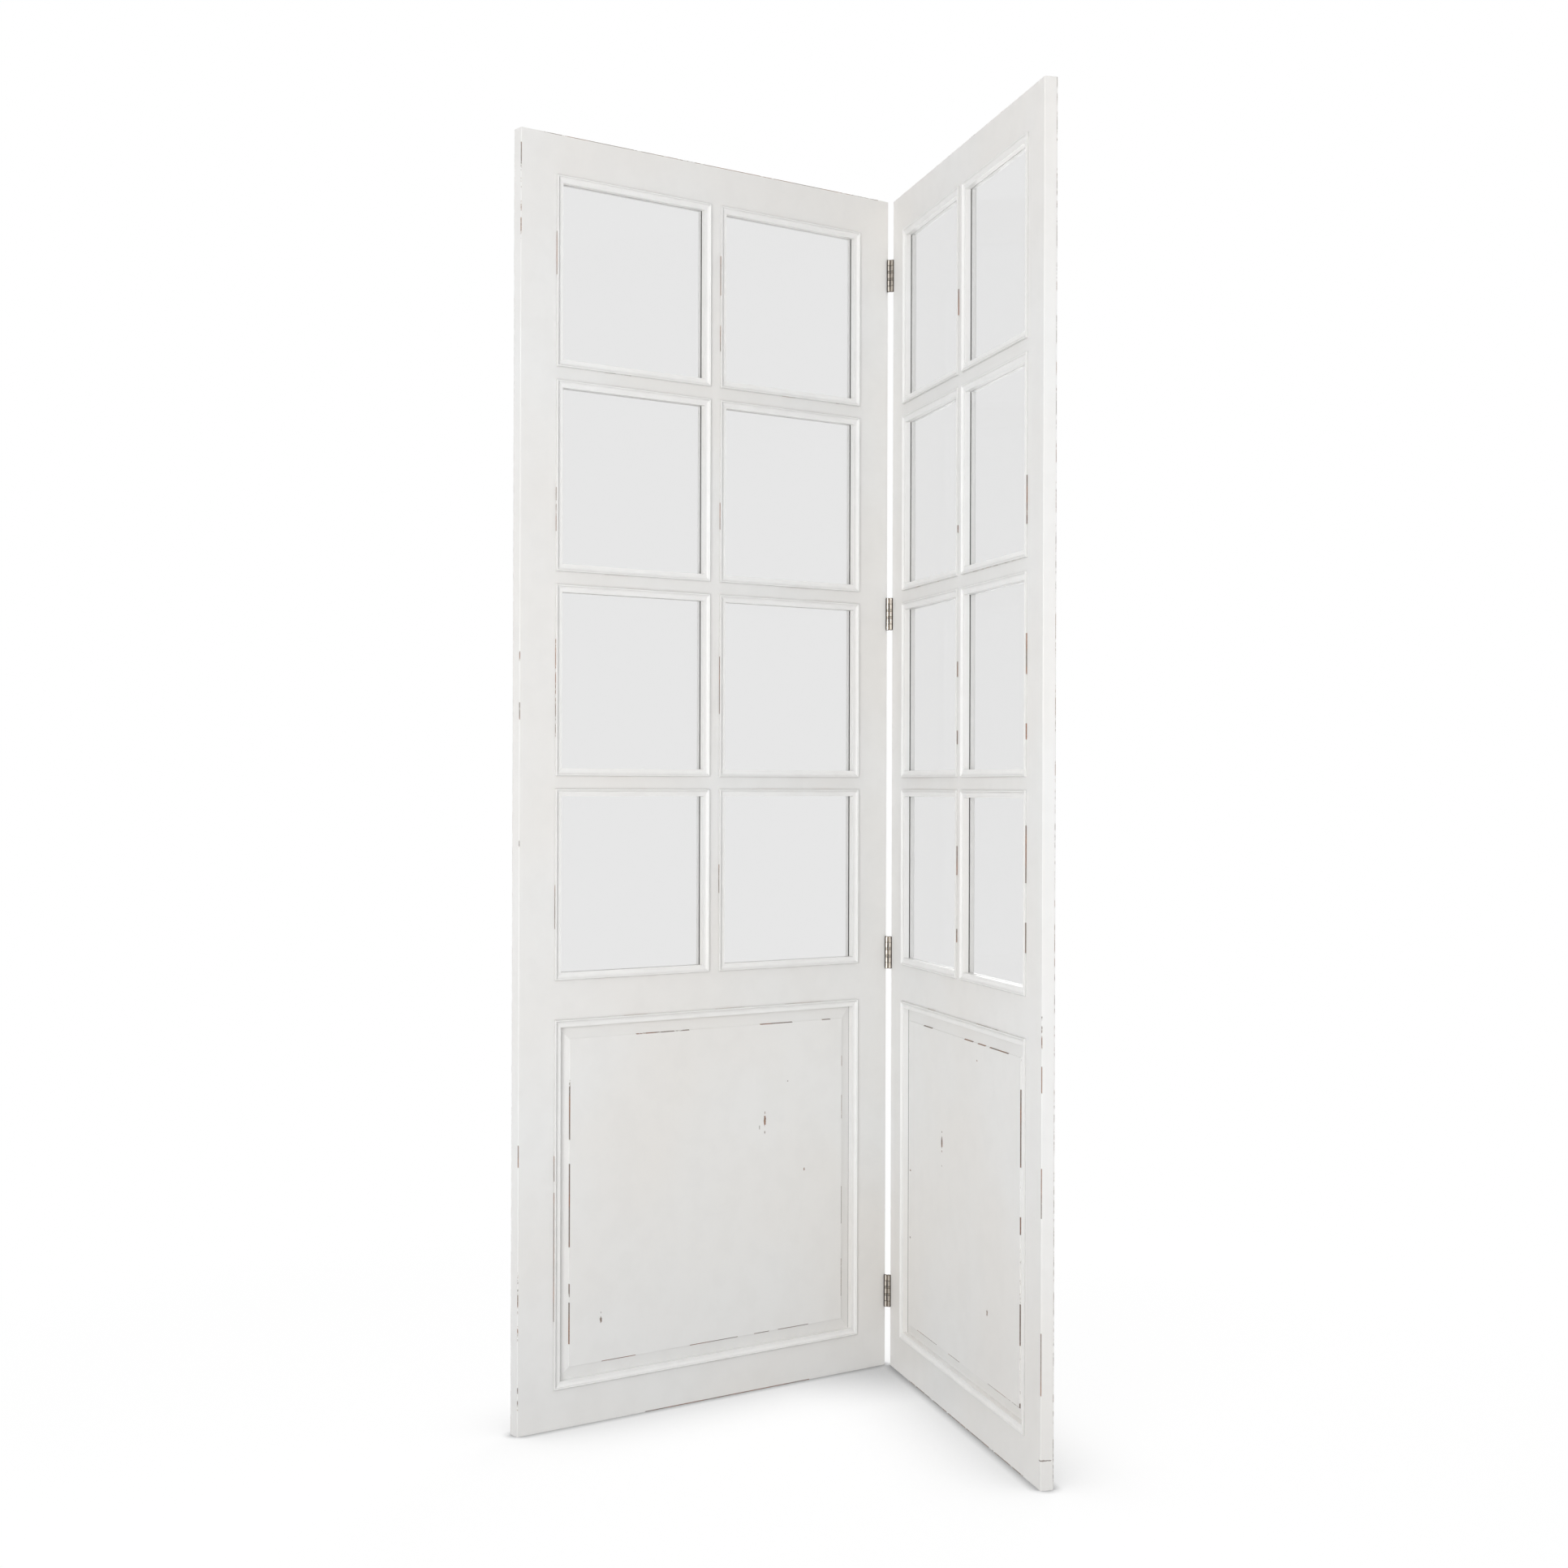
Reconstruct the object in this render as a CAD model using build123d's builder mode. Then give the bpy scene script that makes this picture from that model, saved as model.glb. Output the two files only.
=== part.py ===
"""Two-leaf folding room divider: glazed grid above, raised panel below, four two-pin hinges.

Lengths are millimetres. The screen stands in an open V, its inner faces toward -Y.
In each leaf a point is given by its distance from the hinge edge, its height and its
depth behind the front face. The word out is +1 for the right leaf and -1 for the left.
"""
import os
from math import cos, radians, sin

from build123d import *

# Overall size of one leaf and the angle each leaf makes with the middle plane
leaf_width = 664.0
leaf_height = 1800.0
leaf_thickness = 18.0
half_opening_angle = 33.0

# Flat faces of the frame, seen outside the mouldings
stile_face = 58.0
glazing_bar_face = 18.0
top_rail_face = 56.0
lock_rail_face = 55.0
bottom_rail_face = 55.0
pane_field_height = 266.5
arris_radius = 1.0

# Rebates, tenons and laps
lip_thickness = 7.8
rebate_width = 7.0
tenon_setback = 1.0
tenon_thickness = 6.0
rail_tenon_length = 32.0
rail_tenon_trim = 9.0
bar_tenon_length = 14.0
bar_tenon_trim = 4.0
tenon_side_clearance = 0.1
tenon_end_clearance = 1.0

# Applied moulding, from its outer edge inward
moulding_width = 10.5
moulding_height = 3.2
moulding_bead_width = 2.6
quirk_width = 0.4
quirk_height = 1.5
cove_top_height = 2.3
cove_width = 5.4
cove_sag = 0.75
inner_fillet_height = 0.6
mitre_clearance = 0.1

# Glass and the beads that hold it from behind
glass_thickness = 3.0
glass_edge_clearance = 1.0
bead_round = 1.5

# Raised and fielded lower panel
panel_edge_thickness = 4.2
panel_edge_clearance = 1.5
panel_margin = 17.5
field_depth = 2.8
field_step = 1.2
bevel_side_clearance = 0.3

# Hinges: heights, barrels and pins
hinge_end_distance = 115.0
pin_spacing = 5.6
pin_face_offset = 2.0
pin_diameter = 3.0
pin_running_clearance = 0.05
pin_press_clearance = 0.02
barrel_diameter = 5.3
barrel_relief_clearance = 0.3
outer_link_height = 9.0
knuckle_height = 8.3
ring_height = 3.1
middle_link_height = 7.8
segment_clearance = 0.1
link_web_width = 3.0
pin_head_diameter = 4.4
pin_head_height = 0.6

# Hinge leaves and their screws
plate_thickness = 1.2
plate_depth = 16.5
plate_recess_clearance = 0.1
screw_head_diameter = 5.0
screw_shank_diameter = 2.6
screw_length = 16.0
screw_tip_length = 3.0
screw_hole_clearance = 0.05
screw_slot_width = 0.7
screw_slot_depth = 0.5
screw_spread = 32.0
screw_outer_depth = 11.5
screw_middle_depth = 6.0

pane_rows = 4
pane_columns = 2
hinge_count = 4
screws_per_leaf = 3

os.makedirs("parts", exist_ok=True)

# Sizes that follow from the driving lengths
half_angle = radians(half_opening_angle)
stile_width = stile_face + moulding_width
stile_back_width = stile_width - rebate_width
bar_width = glazing_bar_face + moulding_width + moulding_width
bar_back_width = bar_width - rebate_width - rebate_width
back_thickness = leaf_thickness - lip_thickness
tenon_depth = lip_thickness + tenon_setback
pane_field_width = (leaf_width - 2 * stile_face - glazing_bar_face) / pane_columns
pane_pitch_up = pane_field_height + glazing_bar_face
pane_pitch_across = pane_field_width + glazing_bar_face
first_pane_bottom = leaf_height - top_rail_face - pane_rows * pane_pitch_up + glazing_bar_face
panel_field_bottom = bottom_rail_face
panel_field_top = first_pane_bottom - lock_rail_face
panel_field_height = panel_field_top - panel_field_bottom
panel_field_width = leaf_width - 2 * stile_face
opening_width = leaf_width - 2 * stile_width
top_rail_bottom = leaf_height - top_rail_face - moulding_width
lock_rail_bottom = panel_field_top - moulding_width
lock_rail_top = first_pane_bottom + moulding_width
bottom_rail_top = panel_field_bottom + moulding_width
bar_heights = [
    first_pane_bottom + row * pane_pitch_up - glazing_bar_face / 2 for row in range(1, pane_rows)
]
pane_centres = [
    (
        leaf_width / 2 + (column - (pane_columns - 1) / 2) * pane_pitch_across,
        first_pane_bottom + pane_field_height / 2 + row * pane_pitch_up,
    )
    for row in reversed(range(pane_rows))
    for column in range(pane_columns)
]
panel_centre_height = (panel_field_bottom + panel_field_top) / 2

# Hinge heights and the stack of segments on each pin, centred on the hinge
hinge_pitch = (leaf_height - 2 * hinge_end_distance) / (hinge_count - 1)
hinge_heights = [hinge_end_distance + index * hinge_pitch for index in reversed(range(hinge_count))]
ring_offset = (middle_link_height + ring_height) / 2 + segment_clearance
knuckle_offset = ring_offset + (ring_height + knuckle_height) / 2 + segment_clearance
outer_link_offset = knuckle_offset + (knuckle_height + outer_link_height) / 2 + segment_clearance
stack_half_height = outer_link_offset + outer_link_height / 2
barrel_radius = barrel_diameter / 2
pin_radius = pin_diameter / 2
relief_radius = barrel_radius + barrel_relief_clearance

# The pin stands in the middle of the plate thickness and a little in front of the face
pin_inset = plate_thickness / 2
corner_x = pin_spacing / 2 - pin_inset * sin(half_angle) + pin_face_offset * cos(half_angle)
corner_y = (leaf_width * cos(half_angle) - leaf_thickness * sin(half_angle)) / 2
pin_y = corner_y - pin_inset * cos(half_angle) - pin_face_offset * sin(half_angle)


def leaf_planes(out):
    """Front face, hinge edge and plan view of one leaf, all from its front hinge corner."""
    corner = (out * corner_x, corner_y, 0)
    along = Vector(out * sin(half_angle), -cos(half_angle), 0)
    front = Vector(-out * cos(half_angle), -sin(half_angle), 0)
    face = Plane(origin=corner, x_dir=along * out, z_dir=front)
    edge = Plane(origin=corner, x_dir=front * out, z_dir=along * -1)
    plan = Plane(origin=corner, x_dir=along, z_dir=(0, 0, 1))
    return face, edge, plan


def save(part, name):
    """Label one piece and write it to its own file."""
    part.label = name
    export_step(part, f"parts/{name}.step")


def mitred_strip(length, section):
    """A strip of the given section, outer edge on the X axis, both ends cut at 45 degrees."""
    with BuildPart() as strip:
        with BuildSketch(Plane.YZ.offset(-length / 2)):
            add(section)
        extrude(amount=length)
        split(bisect_by=Plane(origin=(mitre_clearance - length / 2, 0, 0), z_dir=(1, -1, 0)))
        split(bisect_by=Plane(origin=(length / 2 - mitre_clearance, 0, 0), z_dir=(-1, -1, 0)))
    return strip.part


def mitred_frame(width, height, section):
    """Four strips round a rectangle, kept as separate pieces."""
    across = mitred_strip(width, section)
    upright = mitred_strip(height, section)
    with BuildPart() as frame:
        with Locations(Location((0, -height / 2, 0)), Location((0, height / 2, 0), (0, 0, 180))):
            add(across)
        with Locations(Location((width / 2, 0, 0), (0, 0, 90)), Location((-width / 2, 0, 0), (0, 0, -90))):
            add(upright)
    return frame.part


def bead_section(bead_front):
    """Square bead from the back of the glass or panel to the back of the leaf, one edge rounded."""
    with BuildSketch() as bead:
        with Locations((0, -bead_front)):
            Rectangle(rebate_width, leaf_thickness - bead_front, align=(Align.MIN, Align.MAX))
        fillet(bead.vertices().group_by(Axis.Y)[0].sort_by(Axis.X)[-1], bead_round)
    return bead.sketch


# Section of the applied moulding: round bead, quirk, cove and a thin inner fillet
cove_start = moulding_bead_width + quirk_width
cove_end = cove_start + cove_width
bead_spring_height = moulding_height - moulding_bead_width / 2
cove_middle = ((cove_start + cove_end) / 2, (cove_top_height + inner_fillet_height) / 2 - cove_sag)
with BuildSketch() as moulding_section:
    with BuildLine():
        Line((0, 0), (0, bead_spring_height))
        ThreePointArc(
            (0, bead_spring_height),
            (moulding_bead_width / 2, moulding_height),
            (moulding_bead_width, bead_spring_height),
        )
        Polyline(
            (moulding_bead_width, bead_spring_height),
            (moulding_bead_width, quirk_height),
            (cove_start, quirk_height),
            (cove_start, cove_top_height),
        )
        ThreePointArc((cove_start, cove_top_height), cove_middle, (cove_end, inner_fillet_height))
        Polyline(
            (cove_end, inner_fillet_height),
            (moulding_width, inner_fillet_height),
            (moulding_width, 0),
            (0, 0),
        )
    make_face()

# Mitred frames shared by both leaves
sight_shift = rebate_width - moulding_width
glass_bead_front = lip_thickness + glass_thickness
panel_bead_front = lip_thickness + panel_edge_thickness
pane_moulding = mitred_frame(pane_field_width, pane_field_height, moulding_section.sketch)
panel_moulding = mitred_frame(panel_field_width, panel_field_height, moulding_section.sketch)
pane_bead = mitred_frame(
    pane_field_width + 2 * sight_shift,
    pane_field_height + 2 * sight_shift,
    bead_section(glass_bead_front),
)
panel_bead = mitred_frame(
    panel_field_width + 2 * sight_shift,
    panel_field_height + 2 * sight_shift,
    bead_section(panel_bead_front),
)

# One screw, head flush with the origin plane, and one pin centred on the origin
head_radius = screw_head_diameter / 2
shank_radius = screw_shank_diameter / 2
with BuildPart() as screw:
    with BuildSketch(Plane.XZ):
        with BuildLine():
            Polyline(
                (0, 0),
                (head_radius, 0),
                (shank_radius, shank_radius - head_radius),
                (shank_radius, screw_tip_length - screw_length),
                (0, -screw_length),
                close=True,
            )
        make_face()
    revolve(axis=Axis.Z)
    with BuildSketch():
        Rectangle(head_radius, screw_slot_width)
        Rectangle(screw_slot_width, head_radius)
    extrude(amount=-screw_slot_depth, mode=Mode.SUBTRACT)

head_rim = pin_head_diameter / 2
dome_top = stack_half_height + pin_head_height
dome_radius = (head_rim**2 + pin_head_height**2) / (2 * pin_head_height)
with BuildPart() as pin:
    with BuildSketch(Plane.XZ):
        with BuildLine():
            Polyline(
                (0, dome_top),
                (0, 0),
                (pin_radius, 0),
                (pin_radius, stack_half_height),
                (head_rim, stack_half_height),
            )
            RadiusArc((head_rim, stack_half_height), (0, dome_top), -dome_radius)
        make_face()
    revolve(axis=Axis.Z)
    mirror(about=Plane.XY)

# Sockets in the stiles: middle height, height and depth into the wood for each joint
rail_joints = [
    ((top_rail_bottom + rebate_width + leaf_height) / 2, leaf_height - top_rail_bottom - rebate_width),
    ((lock_rail_bottom + lock_rail_top) / 2, lock_rail_top - lock_rail_bottom - 2 * rebate_width),
    ((bottom_rail_top - rebate_width) / 2, bottom_rail_top - rebate_width),
]
bar_joints = [(height, bar_back_width) for height in bar_heights]
centre_joint_low = lock_rail_top - rebate_width
centre_joint_high = top_rail_bottom + rebate_width

for side, out in (("left", -1), ("right", 1)):
    face, edge, plan = leaf_planes(out)
    lap_face = face.offset(-lip_thickness)
    tenon_face = face.offset(-tenon_depth)

    # Stiles run the full height, with a lip in front, a rebate behind and sockets for the rails
    with BuildPart() as stile_outer:
        with BuildSketch(face):
            with Locations((out * (leaf_width - stile_width / 2), leaf_height / 2)):
                Rectangle(stile_width, leaf_height)
        extrude(amount=-lip_thickness)
        with BuildSketch(lap_face):
            with Locations((out * (leaf_width - stile_back_width / 2), leaf_height / 2)):
                Rectangle(stile_back_width, leaf_height)
        extrude(amount=-back_thickness)
        outer_edge = stile_outer.faces().sort_by(Axis(face.origin, face.x_dir * out))[-1]
        fillet(outer_edge.edges().filter_by(Axis.Z), arris_radius)
        top_edges = stile_outer.faces().sort_by(Axis.Z)[-1].edges()
        fillet(top_edges.filter_by(Axis(face.origin, face.x_dir)).sort_by(SortBy.LENGTH)[-2:], arris_radius)
        with BuildSketch(tenon_face):
            for height, size in rail_joints:
                with Locations((out * (leaf_width - stile_back_width), height)):
                    Rectangle(2 * rail_tenon_length, size - 2 * rail_tenon_trim)
            for height, size in bar_joints:
                with Locations((out * (leaf_width - stile_back_width), height)):
                    Rectangle(2 * bar_tenon_length, size - 2 * bar_tenon_trim)
        extrude(amount=-tenon_thickness, mode=Mode.SUBTRACT)
    save(stile_outer.part, f"{side}_stile_outer")

    # The hinge stile also takes the hinge leaves: shallow recesses, barrel reliefs, screw holes
    with BuildPart() as stile_hinge:
        with BuildSketch(face):
            with Locations((out * stile_width / 2, leaf_height / 2)):
                Rectangle(stile_width, leaf_height)
        extrude(amount=-lip_thickness)
        with BuildSketch(lap_face):
            with Locations((out * stile_back_width / 2, leaf_height / 2)):
                Rectangle(stile_back_width, leaf_height)
        extrude(amount=-back_thickness)
        hinge_edge = stile_hinge.faces().sort_by(Axis(face.origin, face.x_dir * out))[0]
        fillet(hinge_edge.edges().filter_by(Axis.Z), arris_radius)
        top_edges = stile_hinge.faces().sort_by(Axis.Z)[-1].edges()
        fillet(top_edges.filter_by(Axis(face.origin, face.x_dir)).sort_by(SortBy.LENGTH)[-2:], arris_radius)
        with BuildSketch(tenon_face):
            for height, size in rail_joints:
                with Locations((out * stile_back_width, height)):
                    Rectangle(2 * rail_tenon_length, size - 2 * rail_tenon_trim)
            for height, size in bar_joints:
                with Locations((out * stile_back_width, height)):
                    Rectangle(2 * bar_tenon_length, size - 2 * bar_tenon_trim)
        extrude(amount=-tenon_thickness, mode=Mode.SUBTRACT)
        with BuildSketch(edge):
            for height in hinge_heights:
                with Locations((0, height)):
                    Rectangle(
                        2 * (plate_depth + plate_recess_clearance),
                        2 * (stack_half_height + plate_recess_clearance),
                    )
        extrude(amount=-plate_thickness, mode=Mode.SUBTRACT)
        for height in hinge_heights:
            relief_half = stack_half_height + pin_head_height + plate_recess_clearance
            with BuildSketch(plan.offset(height - relief_half)):
                with Locations((pin_inset, -out * pin_face_offset)):
                    Circle(relief_radius)
            extrude(amount=2 * relief_half, mode=Mode.SUBTRACT)
        with BuildSketch(edge):
            for height in hinge_heights:
                with Locations((-out * screw_middle_depth, height)):
                    Circle(screw_shank_diameter / 2 + screw_hole_clearance)
                with Locations((-out * screw_outer_depth, height)):
                    with GridLocations(0, screw_spread, 1, screws_per_leaf - 1):
                        Circle(screw_shank_diameter / 2 + screw_hole_clearance)
        extrude(amount=-(screw_length + tenon_end_clearance), mode=Mode.SUBTRACT)
    save(stile_hinge.part, f"{side}_stile_hinge")

    # Rails: lip in front between the stile lips, longer behind, one tenon at each end
    rails = (
        ("top_rail", top_rail_bottom, leaf_height, rebate_width, 0),
        ("lock_rail", lock_rail_bottom, lock_rail_top, rebate_width, rebate_width),
        ("bottom_rail", 0, bottom_rail_top, 0, rebate_width),
    )
    for (name, low, high, low_rebate, high_rebate), (height, size) in zip(rails, rail_joints):
        with BuildPart() as rail:
            with BuildSketch(face):
                with Locations((out * leaf_width / 2, (low + high) / 2)):
                    Rectangle(opening_width, high - low)
            extrude(amount=-lip_thickness)
            with BuildSketch(lap_face):
                with Locations((out * leaf_width / 2, (low + low_rebate + high - high_rebate) / 2)):
                    Rectangle(opening_width + 2 * rebate_width, high - low - low_rebate - high_rebate)
            extrude(amount=-back_thickness)
            if name == "top_rail":
                top_edges = rail.faces().sort_by(Axis.Z)[-1].edges()
                long_edges = top_edges.filter_by(Axis(face.origin, face.x_dir)).sort_by(SortBy.LENGTH)
                fillet(long_edges[-2:], arris_radius)
            with BuildSketch(tenon_face.offset(-tenon_side_clearance)):
                with Locations((out * leaf_width / 2, height)):
                    Rectangle(
                        leaf_width - 2 * (stile_back_width - rail_tenon_length + tenon_end_clearance),
                        size - 2 * rail_tenon_trim - 2 * tenon_side_clearance,
                    )
            extrude(amount=-(tenon_thickness - 2 * tenon_side_clearance))
            if name != "bottom_rail":
                socket_height = centre_joint_high if name == "top_rail" else centre_joint_low
                with BuildSketch(tenon_face):
                    with Locations((out * leaf_width / 2, socket_height)):
                        Rectangle(bar_back_width - 2 * bar_tenon_trim, 2 * bar_tenon_length)
                extrude(amount=-tenon_thickness, mode=Mode.SUBTRACT)
        save(rail.part, f"{side}_{name}")

    # Upright glazing bar: front half unbroken, back half notched where the cross bars pass
    with BuildPart() as centre_bar:
        with BuildSketch(face):
            with Locations((out * leaf_width / 2, (lock_rail_top + top_rail_bottom) / 2)):
                Rectangle(bar_width, top_rail_bottom - lock_rail_top)
        extrude(amount=-lip_thickness)
        with BuildSketch(lap_face):
            with Locations((out * leaf_width / 2, (centre_joint_low + centre_joint_high) / 2)):
                Rectangle(bar_back_width, centre_joint_high - centre_joint_low)
            with Locations(*[(out * leaf_width / 2, height) for height in bar_heights]):
                Rectangle(bar_back_width, bar_back_width, mode=Mode.SUBTRACT)
        extrude(amount=-back_thickness)
        with BuildSketch(tenon_face.offset(-tenon_side_clearance)):
            tenon_reach = bar_tenon_length - tenon_end_clearance
            for height in (centre_joint_low, centre_joint_high):
                with Locations((out * leaf_width / 2, height)):
                    Rectangle(
                        bar_back_width - 2 * bar_tenon_trim - 2 * tenon_side_clearance,
                        2 * tenon_reach,
                    )
        extrude(amount=-(tenon_thickness - 2 * tenon_side_clearance))
    save(centre_bar.part, f"{side}_centre_bar")

    # Cross bars: back half unbroken, front half in two lengths that butt the upright bar
    for number, (height, size) in enumerate(reversed(bar_joints), start=1):
        with BuildPart() as cross_bar:
            with BuildSketch(lap_face):
                with Locations((out * leaf_width / 2, height)):
                    Rectangle(opening_width + 2 * rebate_width, size)
            extrude(amount=-back_thickness)
            with BuildSketch(face):
                with Locations((out * leaf_width / 2, height)):
                    Rectangle(opening_width, bar_width)
                    Rectangle(bar_width, bar_width, mode=Mode.SUBTRACT)
            extrude(amount=-lip_thickness)
            with BuildSketch(tenon_face.offset(-tenon_side_clearance)):
                with Locations((out * leaf_width / 2, height)):
                    Rectangle(
                        leaf_width - 2 * (stile_back_width - bar_tenon_length + tenon_end_clearance),
                        size - 2 * bar_tenon_trim - 2 * tenon_side_clearance,
                    )
            extrude(amount=-(tenon_thickness - 2 * tenon_side_clearance))
        save(cross_bar.part, f"{side}_cross_bar_{number}")

    # Raised panel: thin edge in the rebate, bevel up to a small step, flat field
    bevel_base_width = opening_width - 2 * bevel_side_clearance
    bevel_base_height = lock_rail_bottom - bottom_rail_top - 2 * bevel_side_clearance
    field_width = opening_width - 2 * panel_margin
    field_height = lock_rail_bottom - bottom_rail_top - 2 * panel_margin
    panel_centre = (out * leaf_width / 2, panel_centre_height)
    with BuildPart() as raised_panel:
        with BuildSketch(lap_face):
            with Locations(panel_centre):
                Rectangle(
                    opening_width + 2 * (rebate_width - panel_edge_clearance),
                    lock_rail_bottom - bottom_rail_top + 2 * (rebate_width - panel_edge_clearance),
                )
        extrude(amount=-panel_edge_thickness)
        with BuildSketch(lap_face):
            with Locations(panel_centre):
                Rectangle(bevel_base_width, bevel_base_height)
        with BuildSketch(face.offset(-(field_depth + field_step))):
            with Locations(panel_centre):
                Rectangle(field_width, field_height)
        loft()
        with BuildSketch(face.offset(-field_depth)):
            with Locations(panel_centre):
                Rectangle(field_width, field_height)
        extrude(amount=-field_step)
    save(raised_panel.part, f"{side}_raised_panel")

    # Mouldings on the front face and beads behind, four mitred strips round each opening
    leaf_pane_centres = [(out * distance, height) for distance, height in pane_centres]
    with BuildPart(face) as pane_mouldings:
        with Locations(*leaf_pane_centres):
            add(pane_moulding)
    save(pane_mouldings.part, f"{side}_pane_mouldings")

    with BuildPart(face) as pane_beads:
        with Locations(*leaf_pane_centres):
            add(pane_bead)
    save(pane_beads.part, f"{side}_pane_beads")

    with BuildPart(face) as lower_moulding:
        with Locations(panel_centre):
            add(panel_moulding)
    save(lower_moulding.part, f"{side}_panel_moulding")

    with BuildPart(face) as lower_bead:
        with Locations(panel_centre):
            add(panel_bead)
    save(lower_bead.part, f"{side}_panel_bead")

    # Glass, numbered from the hinge side outward and from the top down
    for number, centre in enumerate(leaf_pane_centres, start=1):
        with BuildPart() as glass:
            with BuildSketch(lap_face):
                with Locations(centre):
                    Rectangle(
                        pane_field_width + 2 * (sight_shift - glass_edge_clearance),
                        pane_field_height + 2 * (sight_shift - glass_edge_clearance),
                    )
            extrude(amount=-glass_thickness)
        save(glass.part, f"{side}_glass_{number}")

    # Hinge leaves: a plate let into the edge and two knuckles in line with the plate
    for number, height in enumerate(hinge_heights, start=1):
        with BuildPart() as hinge_leaf:
            with BuildSketch(plan.offset(height - stack_half_height)):
                with Locations((0, out * plate_depth)):
                    Rectangle(
                        plate_thickness,
                        plate_depth,
                        align=(Align.MIN, Align.MAX if out > 0 else Align.MIN),
                    )
                with Locations((pin_inset, -out * pin_face_offset)):
                    Circle(relief_radius, mode=Mode.SUBTRACT)
            extrude(amount=2 * stack_half_height)
            for offset in (-knuckle_offset, knuckle_offset):
                with BuildSketch(plan.offset(height + offset - knuckle_height / 2)):
                    with Locations((pin_inset, -out * pin_face_offset)):
                        Circle(barrel_radius)
                    with Locations((0, -out * pin_face_offset)):
                        Rectangle(
                            plate_thickness,
                            pin_face_offset + plate_depth,
                            align=(Align.MIN, Align.MIN if out > 0 else Align.MAX),
                        )
                extrude(amount=knuckle_height)
            with BuildSketch(plan.offset(height - stack_half_height)):
                with Locations((pin_inset, -out * pin_face_offset)):
                    Circle(pin_radius + pin_running_clearance)
            extrude(amount=2 * stack_half_height, mode=Mode.SUBTRACT)
            with Locations(edge):
                with Locations((-out * screw_middle_depth, height)):
                    CounterSinkHole(
                        screw_shank_diameter / 2 + screw_hole_clearance,
                        screw_head_diameter / 2,
                        counter_sink_angle=90,
                    )
                with Locations((-out * screw_outer_depth, height)):
                    with GridLocations(0, screw_spread, 1, screws_per_leaf - 1):
                        CounterSinkHole(
                            screw_shank_diameter / 2 + screw_hole_clearance,
                            screw_head_diameter / 2,
                            counter_sink_angle=90,
                        )
        save(hinge_leaf.part, f"{side}_hinge_leaf_{number}")

    # Countersunk screws of the four hinge leaves, flush with the plates
    with BuildPart(edge) as screws:
        for height in hinge_heights:
            with Locations((-out * screw_middle_depth, height)):
                add(screw.part)
            with Locations((-out * screw_outer_depth, height)):
                with GridLocations(0, screw_spread, 1, screws_per_leaf - 1):
                    add(screw.part)
    save(screws.part, f"{side}_screws")

    # Pins of the four hinges on this side, a low dome at each end
    with BuildPart() as pins:
        with Locations(*[(out * pin_spacing / 2, pin_y, height) for height in hinge_heights]):
            add(pin.part)
    save(pins.part, f"{side}_pins")

# Links: three paired barrels joined by a web, with a loose ring above and below the middle one
for number, height in enumerate(hinge_heights, start=1):
    with BuildPart() as links:
        for offset, size in (
            (-outer_link_offset, outer_link_height),
            (0, middle_link_height),
            (outer_link_offset, outer_link_height),
        ):
            with BuildSketch(Plane.XY.offset(height + offset - size / 2)):
                with Locations((0, pin_y)):
                    Rectangle(pin_spacing, link_web_width)
                    with GridLocations(pin_spacing, 0, 2, 1):
                        Circle(barrel_radius)
            extrude(amount=size)
        for offset in (-ring_offset, ring_offset):
            with BuildSketch(Plane.XY.offset(height + offset - ring_height / 2)):
                with Locations((0, pin_y)):
                    with GridLocations(pin_spacing, 0, 2, 1):
                        Circle(barrel_radius)
            extrude(amount=ring_height)
        with BuildSketch(Plane.XY.offset(height - stack_half_height)):
            with Locations((0, pin_y)):
                with GridLocations(pin_spacing, 0, 2, 1):
                    Circle(pin_radius + pin_press_clearance)
        extrude(amount=2 * stack_half_height, mode=Mode.SUBTRACT)
    save(links.part, f"hinge_links_{number}")
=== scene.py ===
"""Looks, light and camera for the two-leaf folding room divider. Lengths are metres."""

import math

import bpy
from mathutils import Matrix, Vector

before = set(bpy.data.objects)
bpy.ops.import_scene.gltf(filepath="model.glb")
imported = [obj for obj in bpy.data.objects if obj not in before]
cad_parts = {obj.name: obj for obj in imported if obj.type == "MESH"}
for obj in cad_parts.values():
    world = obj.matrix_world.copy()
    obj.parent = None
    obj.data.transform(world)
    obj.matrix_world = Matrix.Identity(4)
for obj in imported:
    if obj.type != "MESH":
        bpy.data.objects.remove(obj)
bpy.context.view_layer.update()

# The leaf's own coordinates, from its front hinge corner: u outward, v up, d into the leaf
HALF_ANGLE = math.radians(33.0)
CORNER_X = 0.0041506
CORNER_Y = 0.2735358
LEAF_WIDTH = 0.664
LEAF_HEIGHT = 1.8

# Studio: the room's light, the lamps in watts, and the floor's bounce, shade and glow
AMBIENT = 0.46
FRONT_POWER = 60.0
TOP_POWER = 31.0
SIDE_POWER = 6.0
BACK_POWER = 56.0
FLOOR_BOUNCE_NEAR = 0.60
FLOOR_BOUNCE_FAR = 0.95
FLOOR_SHADE = 0.12
FLOOR_GLOW = 0.902

# Floor, in metres: its half size, how far its two shadows reach, and where it fades to pure white
FLOOR_HALF = 12.0
SHADOW_REACH = 0.2
SHADOW_CURVE = 1.7
SHADOW_DEPTH = 0.95
CONTACT_REACH = 0.016
CONTACT_DEPTH = 1.1
BOUNCE_SPAN = (0.1, 1.0)
FADE_SPAN = (1.05, 1.6)

# Camera: its place and aim, the roll in degrees, and the lens in millimetres
CAMERA_PLACE = (1.0153, -3.1949, 0.8965)
CAMERA_AIM = (-0.3239, 0.9461, 0.0005)
CAMERA_ROLL = 0.176
CAMERA_LENS = 53.54
CAMERA_SENSOR = 36.0


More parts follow.
